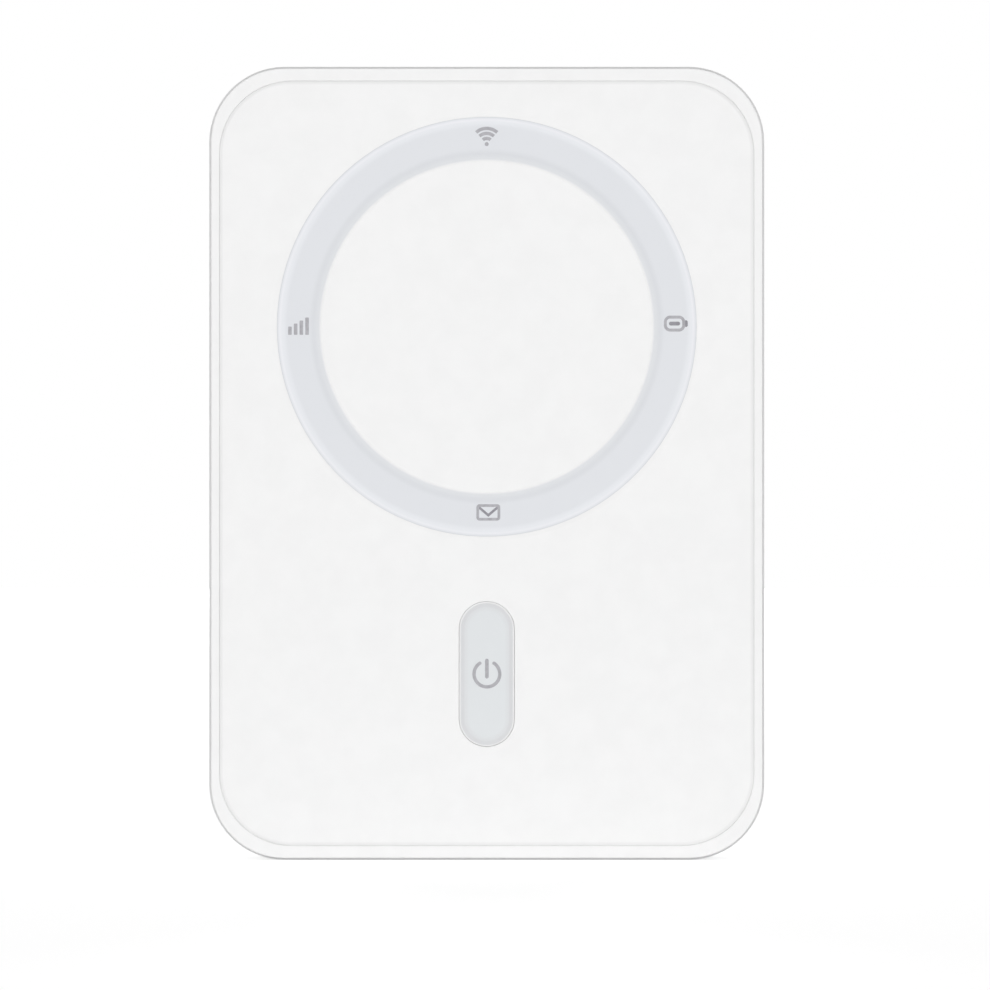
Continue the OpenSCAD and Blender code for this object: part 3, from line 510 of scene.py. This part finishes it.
mask, tree, shader, coords = finish("solder_mask_green", "#1b6244", 0.26, 0.8 * MM, 0.003 * MM)
quarter = math.radians(90)
along = add(tree, "ShaderNodeMapping", {"Vector": coords, "Rotation": (quarter, 0, 0)}).outputs[0]
upward = add(tree, "ShaderNodeMapping", {"Vector": coords, "Rotation": (quarter, 0, quarter)}).outputs[0]
bricks = {
    "Scale": 1.0, "Brick Width": TRACK_RUN, "Row Height": TRACK_PITCH, "Mortar Size": TRACK_GAP / 2
}
rows = add(tree, "ShaderNodeTexBrick", {"Vector": along, **bricks})
columns = add(tree, "ShaderNodeTexBrick", {"Vector": upward, **bricks})
areas = add(
    tree, "ShaderNodeTexVoronoi", {"Vector": along, "Scale": 1 / AREA_SIZE}, voronoi_dimensions="2D"
)
which = add(tree, "ShaderNodeMath", {0: areas.outputs["Color"], 1: 0.5}, operation="GREATER_THAN")
gaps = add(
    tree, "ShaderNodeMix",
    {"Factor": which.outputs[0], "A": rows.outputs["Fac"], "B": columns.outputs["Fac"]},
)
holes = add(
    tree, "ShaderNodeTexVoronoi", {"Vector": along, "Scale": 1 / HOLE_SPACING}, voronoi_dimensions="2D"
)
in_hole = add(
    tree, "ShaderNodeMath",
    {0: holes.outputs["Distance"], 1: HOLE_RADIUS / HOLE_SPACING}, operation="LESS_THAN",
)
look = add(
    tree, "ShaderNodeMath",
    {0: gaps.outputs["Result"], 1: 0.5, 2: in_hole.outputs[0]}, operation="MULTIPLY_ADD",
)
green = add(
    tree, "ShaderNodeValToRGB", {"Fac": look.outputs[0]},
    stops=[(0.0, "#1b6847"), (0.5, "#0f4530"), (1.0, "#b8b08a")],
)
tree.links.new(green.outputs["Color"], shader.inputs["Base Color"])
dress(mask, "main_board")

# %% [markdown]
# ### Metals
# A metal has no colour under its surface: all that shows is its reflection, which its base colour
# tints. The cans over the radio parts are tinned steel sheet, with streaks along the rolling
# direction. The sockets and switch covers are drawn from stainless steel, and the screws are
# zinc plated. Spring contacts are bronze under a thin flash of gold, rubbed a little dull. The
# aerials are copper tracks under a clear amber film, which adds a smooth coat.

# %% Steel
tinned, *_ = finish(
    "tinned_steel_sheet", "#a3a5a7", 0.4, 0.5 * MM, 0.004 * MM,
    spread=0.09, metallic=1.0, squeeze=(1, 1, 7),
)
dress(tinned, "modem_shield", "radio_shield")

stainless, *_ = finish(
    "stainless_steel_drawn", "#96989b", 0.36, 0.3 * MM, 0.002 * MM,
    spread=0.08, metallic=1.0, squeeze=(5, 1, 1),
)
dress(stainless, "usb_shell", "sim_socket", "power_switch", "reset_switch")

zinc, *_ = finish("zinc_plated_steel", "#8f949a", 0.34, 0.25 * MM, 0.004 * MM, metallic=1.0)
dress(zinc, "board_screws", "frame_screws")

# %% Gold and copper
FILM_COAT, FILM_COAT_ROUGHNESS = 0.6, 0.2

gold, *_ = finish(
    "gold_flash_on_bronze", "#cf9c35", 0.32, 0.3 * MM, 0.003 * MM, spread=0.08, metallic=1.0
)
dress(gold, "usb_contacts", "sim_contacts", "battery_blades", "battery_terminals", "antenna_clips")

aerial, _, shader, _ = finish(
    "copper_under_polyimide_film", "#a8672c", 0.42, 1.5 * MM, 0.01 * MM, spread=0.06, metallic=1.0
)
shader.inputs["Coat Weight"].default_value = FILM_COAT
shader.inputs["Coat Roughness"].default_value = FILM_COAT_ROUGHNESS
dress(aerial, "wifi_antenna", "main_antenna", "diversity_antenna")

# %% [markdown]
# ### Battery wrap
# The cell is wrapped in a dark polyester film, shrunk on with heat. The film is smooth, but it
# follows the foil pouch under it, so wide shallow waves show in its shine.

# %% Battery wrap
WRAP_WAVE, WRAP_WAVE_DEPTH = 9.0 * MM, 0.05 * MM
wrap, *_ = finish("polyester_film_dark", "#25292e", 0.34, WRAP_WAVE, WRAP_WAVE_DEPTH, spread=0.04)
dress(wrap, "battery_pack")

# %% [markdown]
# ## The icons
# The icons are pad printed in one grey ink, a film some hundredths of a millimetre thick.
# They could be a picture laid on the ring, but real shapes stay sharp from any distance. Each one
# is drawn flat, in millimetres, mostly out of strokes. A stroke is a band of even width along a
# path. The whole drawing is then given the ink's thickness and laid on the surface.

# %% Strokes and filled shapes
INK_THICKNESS = 0.03
CAP_STEPS = 8
CORNER_STEPS = 8


def arc(radius, start, end, steps=24, centre=(0, 0)):
    """Points along an arc; angles in degrees, from +x towards +y."""
    turns = [math.radians(start + (end - start) * i / steps) for i in range(steps + 1)]
    return [Vector((centre[0] + radius * math.cos(t), centre[1] + radius * math.sin(t))) for t in turns]


def rounded_box(width, height, corner, centre=(0, 0)):
    """Points round a rectangle with round corners, without repeating the first."""
    points = []
    for i, (x, y) in enumerate([(1, 1), (-1, 1), (-1, -1), (1, -1)]):
        middle = (centre[0] + x * (width / 2 - corner), centre[1] + y * (height / 2 - corner))
        points += arc(corner, 90 * i, 90 * i + 90, CORNER_STEPS, middle)
    return points


def patch(mesh, outline, coat=0):
    """Adds one flat filled shape to a bmesh, in the ink of that coat."""
    face = mesh.faces.new([mesh.verts.new((*point, 0)) for point in outline])
    face.material_index = coat


def stroke(mesh, path, width, closed=False, round_ends=False):
    """Adds a flat band of even width along a path to a bmesh."""
    sides = []
    for i, here in enumerate(path):
        before = path[i - 1] if closed or i > 0 else here
        after = path[(i + 1) % len(path)] if closed or i < len(path) - 1 else here
        along = (after - before).normalized()
        across = Vector((-along.y, along.x))
        sides.append([mesh.verts.new((*(here + across * s * width / 2), 0)) for s in (1, -1)])
    for i in range(len(path) if closed else len(path) - 1):
        (a, b), (c, d) = sides[i], sides[(i + 1) % len(path)]
        mesh.faces.new((a, b, d, c))
    if round_ends:
        ends = ((path[-1], path[-2], sides[-1]), (path[0], path[1], sides[0][::-1]))
        for end, inner, (left, right) in ends:
            ahead = end - inner
            facing = math.degrees(math.atan2(ahead.y, ahead.x))
            cap = arc(width / 2, facing - 90, facing + 90, CAP_STEPS, end)[1:-1]
            mesh.faces.new([left, right] + [mesh.verts.new((*point, 0)) for point in cap])


# %% Printing a drawing on a piece
def ink_print(name, draw, carrier, point):
    """Draws a shape in millimetres and prints it on a CAD node behind a point of the picture."""
    mesh = bmesh.new()
    draw(mesh)
    bmesh.ops.recalc_face_normals(mesh, faces=mesh.faces[:])
    film = bmesh.ops.extrude_face_region(mesh, geom=mesh.faces[:])["geom"]
    tops = [v for v in film if isinstance(v, bmesh.types.BMVert)]
    bmesh.ops.translate(mesh, verts=tops, vec=(0, 0, INK_THICKNESS))
    place, normal = place_on(nodes[carrier], point)
    up = Vector((0, 0, 1))
    right = up.cross(normal).normalized()
    for v in mesh.verts:
        v.co = place + (right * v.co.x + up * v.co.y + normal * v.co.z) * MM
    bmesh.ops.recalc_face_normals(mesh, faces=mesh.faces[:])
    data = bpy.data.meshes.new(name)
    mesh.to_mesh(data)
    mesh.free()
    piece = bpy.data.objects.new(name, data)
    bpy.context.scene.collection.objects.link(piece)
    for coat in inks:
        data.materials.append(coat)
    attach(piece, nodes[carrier]["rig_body"])
    print(name, "printed on", carrier, "with", len(data.polygons), "faces")
    return piece


# %% [markdown]
# ### Grey pad-printing ink
# The ink dries to a slightly silky film. Seen close, it is thinner at places, which shows as a
# faint cloudiness, so a small noise moves the grey up and down. Where a part of an icon is
# printed a second time, it covers better and looks darker.

# %% Ink
INK_CLOUD = 0.5 * MM
INK_COATS = [
    ("pad_printing_ink_grey", "#a6a5aa", "#b6b5ba"),
    ("pad_printing_ink_grey_two_coats", "#8b8a90", "#99989e"),
]
inks = []
for name, thick, thin in INK_COATS:
    ink, tree, shader, coords = finish(name, thick, 0.5, 0.2 * MM, 0.002 * MM)
    cloud = add(tree, "ShaderNodeTexNoise", {"Vector": coords, "Scale": 1 / INK_CLOUD, "Detail": 2.0})
    grey = add(
        tree, "ShaderNodeValToRGB", {"Fac": cloud.outputs["Fac"]}, stops=[(0.3, thick), (0.7, thin)]
    )
    tree.links.new(grey.outputs["Color"], shader.inputs["Base Color"])
    inks.append(ink)
print("inks:", ", ".join(ink.name for ink in inks))

# %% [markdown]
# ### Wireless fan
# Three arcs over a dot, all from one centre. The drawing is lowered by half its height, so that
# its middle lies on the place where it is printed.

# %% Wireless fan
FAN_RADII, FAN_LINE, FAN_HALF_ANGLE = (0.72, 1.35, 1.98), 0.42, 42
FAN_DOT, DOT_POINTS = 0.25, 24


def draw_fan(mesh):
    drop = Vector((0, (FAN_DOT - FAN_RADII[-1] - FAN_LINE / 2) / 2))
    for fan_radius in FAN_RADII:
        bow = arc(fan_radius, 90 - FAN_HALF_ANGLE, 90 + FAN_HALF_ANGLE, centre=drop)
        stroke(mesh, bow, FAN_LINE)
    patch(mesh, arc(FAN_DOT, 0, 360 - 360 / DOT_POINTS, DOT_POINTS - 1, drop))


wifi_icon = ink_print("wifi_icon", draw_fan, "indicator_ring", WIFI_ICON)

# %% [markdown]
# ### Signal bars
# Four upright bars, each a step taller than the one before.

# %% Signal bars
BARS, FIRST_BAR, BAR_STEP = 4, 1.04, 0.38
BAR_PITCH, BAR_WIDTH, BAR_CORNER = 0.72, 0.45, 0.08


def draw_bars(mesh):
    tallest = FIRST_BAR + (BARS - 1) * BAR_STEP
    for i in range(BARS):
        height = FIRST_BAR + i * BAR_STEP
        middle = ((i - (BARS - 1) / 2) * BAR_PITCH, (height - tallest) / 2)
        patch(mesh, rounded_box(BAR_WIDTH, height, BAR_CORNER, middle))


signal_icon = ink_print("signal_icon", draw_bars, "indicator_ring", SIGNAL_ICON)

# %% [markdown]
# ### Battery
# A round-cornered outline, with a nub on its right and a bar inside that are printed twice.

# %% Battery
CELL_W, CELL_H, CELL_CORNER, CELL_LINE = 2.68, 2.0, 0.78, 0.37
NUB_W, NUB_H, NUB_CORNER = 0.32, 0.84, 0.22
CHARGE_W, CHARGE_H, CHARGE_CORNER = 1.4, 0.48, 0.23


def draw_battery(mesh):
    left = (-NUB_W / 2, 0)
    middle_line = rounded_box(CELL_W - CELL_LINE, CELL_H - CELL_LINE, CELL_CORNER - CELL_LINE / 2, left)
    stroke(mesh, middle_line, CELL_LINE, closed=True)
    patch(mesh, rounded_box(CHARGE_W, CHARGE_H, CHARGE_CORNER, left), coat=1)
    start, end = (CELL_W - NUB_W) / 2, (CELL_W + NUB_W) / 2
    inset = NUB_H / 2 - NUB_CORNER
    lower = arc(NUB_CORNER, -90, 0, CORNER_STEPS, (end - NUB_CORNER, -inset))
    upper = arc(NUB_CORNER, 0, 90, CORNER_STEPS, (end - NUB_CORNER, inset))
    patch(mesh, [(start, -NUB_H / 2), *lower, *upper, (start, NUB_H / 2)], coat=1)


battery_icon = ink_print("battery_icon", draw_battery, "indicator_ring", BATTERY_ICON)

# %% [markdown]
# ### Envelope
# The message sign: a round-cornered outline, with a V-shaped flap that starts in its upper
# corners and is printed twice.

# %% Envelope
MAIL_W, MAIL_H, MAIL_CORNER, MAIL_LINE = 3.0, 2.06, 0.38, 0.34
FLAP_LINE, FLAP_SLOPE, FLAP_POINT = 0.31, 0.85, -0.36


def draw_envelope(mesh):
    middle_line = rounded_box(MAIL_W - MAIL_LINE, MAIL_H - MAIL_LINE, MAIL_CORNER - MAIL_LINE / 2)
    stroke(mesh, middle_line, MAIL_LINE, closed=True)
    side, top = MAIL_W / 2 - MAIL_LINE, MAIL_H / 2 - MAIL_LINE
    half = FLAP_LINE / 2 * math.hypot(1, FLAP_SLOPE)
    top_x = (top - FLAP_POINT - half) / FLAP_SLOPE
    side_y = FLAP_POINT - half + FLAP_SLOPE * side
    right = [(0, FLAP_POINT - half), (side, side_y), (side, top), (top_x, top), (0, FLAP_POINT + half)]
    patch(mesh, right + [(-x, y) for x, y in right[3:0:-1]], coat=1)


message_icon = ink_print("message_icon", draw_envelope, "indicator_ring", MESSAGE_ICON)

# %% [markdown]
# ### Power sign
# A ring that is open at the top, with a bar through the opening. All ends are round.

# %% Power sign
POWER_RADIUS, POWER_LINE, POWER_BAR_LINE, POWER_HALF_GAP = 1.62, 0.42, 0.46, 33
POWER_BAR_TOP, POWER_BAR_FOOT = 1.7, -0.34
POWER_STEPS = 48


def draw_power(mesh):
    drop = Vector((0, -(POWER_BAR_TOP + POWER_BAR_LINE / 2 - POWER_RADIUS - POWER_LINE / 2) / 2))
    opened = arc(POWER_RADIUS, 90 + POWER_HALF_GAP, 450 - POWER_HALF_GAP, POWER_STEPS, drop)
    stroke(mesh, opened, POWER_LINE, round_ends=True)
    bar = [Vector((0, POWER_BAR_TOP)) + drop, Vector((0, POWER_BAR_FOOT)) + drop]
    stroke(mesh, bar, POWER_BAR_LINE, round_ends=True)


power_icon = ink_print("power_icon", draw_power, "power_button", POWER_ICON)

# %% [markdown]
# ## Studio
# The photograph is lit evenly from the front, with a white surround and hardly any shadow. Two
# wide strips stand far in front, left and right. They stand low and near the middle, because
# the rounded edges then turn away from them and draw the grey outline that the photograph has.
# Two more stand behind, far out and higher: they light the back, the sides and the top for the
# other views, and hardly touch the edges seen from the front. The world adds a plain even light,
# and lamps and world together add up to about one, so that a colour renders about as written.
#
# The lamps could also be seen in the reflections. That was tried: each lamp then left a bright
# patch that burnt out the steel inside and lit the ring's slopes unevenly. So they are hidden
# from mirrors, and what shines is the white surround. That surround doesn't light the object:
# only the camera, mirrors and glass see it.

# %% World
WORLD_LIGHT, WORLD_SEEN = 0.3, 1.0


def seen_directly(tree):
    """One for rays from the camera, a mirror or glass, and zero for the rays that carry light."""
    path = add(tree, "ShaderNodeLightPath").outputs
    rays = path["Is Camera Ray"]
    for other in ("Is Glossy Ray", "Is Transmission Ray"):
        rays = add(tree, "ShaderNodeMath", {0: rays, 1: path[other]}, operation="MAXIMUM").outputs[0]
    return rays


world = bpy.data.worlds.new("studio")
bpy.context.scene.world = world
world.use_nodes = True
tree = world.node_tree
tree.nodes.clear()
ambient = add(tree, "ShaderNodeBackground", {"Color": linear("#ffffff"), "Strength": WORLD_LIGHT})
white = add(tree, "ShaderNodeBackground", {"Color": linear("#ffffff"), "Strength": WORLD_SEEN})
both = {0: seen_directly(tree), 1: ambient.outputs[0], 2: white.outputs[0]}
surround = add(tree, "ShaderNodeMixShader", both)
add(tree, "ShaderNodeOutputWorld", {"Surface": surround.outputs[0]})
print(f"world: {WORLD_LIGHT} for light, {WORLD_SEEN} for what is seen")

# %% Lamps
LAMPS = [
    ("front_left_strip", (-0.9, -2.9, 0.2), (1.0, 0.3), 31.0),
    ("front_right_strip", (0.9, -2.9, 0.2), (1.0, 0.3), 31.0),
    ("back_left_strip", (-1.1, 3.0, 0.7), (0.6, 0.6), 34.0),
    ("back_right_strip", (1.1, 3.0, 0.7), (0.6, 0.6), 34.0),
]
for name, place, size, power in LAMPS:
    data = bpy.data.lights.new(name, "AREA")
    data.shape, data.size, data.size_y, data.energy = "RECTANGLE", size[0], size[1], power
    lamp = bpy.data.objects.new(name, data)
    lamp.location = place
    lamp.rotation_euler = (body_middle - Vector(place)).to_track_quat("-Z", "Y").to_euler()
    lamp.visible_camera = lamp.visible_glossy = False
    bpy.context.scene.collection.objects.link(lamp)
    print(f"{name}: {power} W over {size[0]} by {size[1]} m")

# %% [markdown]
# ### The floor
# The device stands on white paper. Seen directly, the paper glows a little, so that it joins the
# white background without a horizon, and where the device keeps the light off it a soft shadow
# still shows. A stronger glow hides that shadow. The paper ends before it reaches the lamps, as
# the ones behind would draw a faint band across its far part. It lies a hair below the device,
# so that the two surfaces don't share a plane.

# %% Floor
FLOOR_HALF, FLOOR_DROP = 2.6, 0.02 * MM
GLOW_SHARE, GLOW_STRENGTH = 0.3, 2.33

floor_mesh = bpy.data.meshes.new("floor")
corners = [(x * FLOOR_HALF, y * FLOOR_HALF, 0) for x, y in ((-1, -1), (1, -1), (1, 1), (-1, 1))]
floor_mesh.from_pydata(corners, [], [(0, 1, 2, 3)])
floor = bpy.data.objects.new("floor", floor_mesh)
floor.location.z = cad_box[0].z - FLOOR_DROP
bpy.context.scene.collection.objects.link(floor)

paper, tree, shader, _ = finish("white_paper_sweep", "#f0f0f0", 0.9, 1.0 * MM, 0.005 * MM)
glow = add(tree, "ShaderNodeEmission", {"Color": linear("#ffffff"), "Strength": GLOW_STRENGTH})
share = add(tree, "ShaderNodeMath", {0: seen_directly(tree), 1: GLOW_SHARE}, operation="MULTIPLY")
lit = {0: share.outputs[0], 1: shader.outputs[0], 2: glow.outputs[0]}
both = add(tree, "ShaderNodeMixShader", lit)
tree.links.new(both.outputs[0], tree.nodes["Material Output"].inputs["Surface"])
floor_mesh.materials.append(paper)

# %% [markdown]
# ## How true the picture is
# Each named point is compared with where the finished thing shows.

# %% Points and sizes
def shown_box(*pieces):
    """Leftmost, topmost, rightmost and lowest pixel of some pieces' vertices."""
    marks = [to_pixel(p.matrix_world @ v.co) for p in pieces for v in p.data.vertices]
    xs, ys = [m[0] for m in marks], [m[1] for m in marks]
    return min(xs), min(ys), max(xs), max(ys)


body_shown = shown_box(nodes["front_housing"], nodes["back_cover"])
report = {
    "body_left": [body_shown[0] - BODY_LEFT, 0],
    "body_right": [body_shown[2] - BODY_RIGHT, 0],
    "body_top": [0, body_shown[1] - BODY_TOP],
    "body_bottom": [0, body_shown[3] - BODY_BOTTOM],
}
FEATURES = {
    "ring": (nodes["indicator_ring"], RING_MIDDLE),
    "power_key": (nodes["power_button"], KEY_MIDDLE),
    "wifi_icon": (wifi_icon, WIFI_ICON),
    "signal_icon": (signal_icon, SIGNAL_ICON),
    "battery_icon": (battery_icon, BATTERY_ICON),
    "message_icon": (message_icon, MESSAGE_ICON),
    "power_icon": (power_icon, POWER_ICON),
}
for name, (piece, point) in FEATURES.items():
    left, top, right, bottom = shown_box(piece)
    report[name] = [(left + right) / 2 - point[0], (top + bottom) / 2 - point[1]]
report = {name: [round(gap, 2) for gap in gaps] for name, gaps in report.items()}
print("gaps to the image points, in pixels:", report)
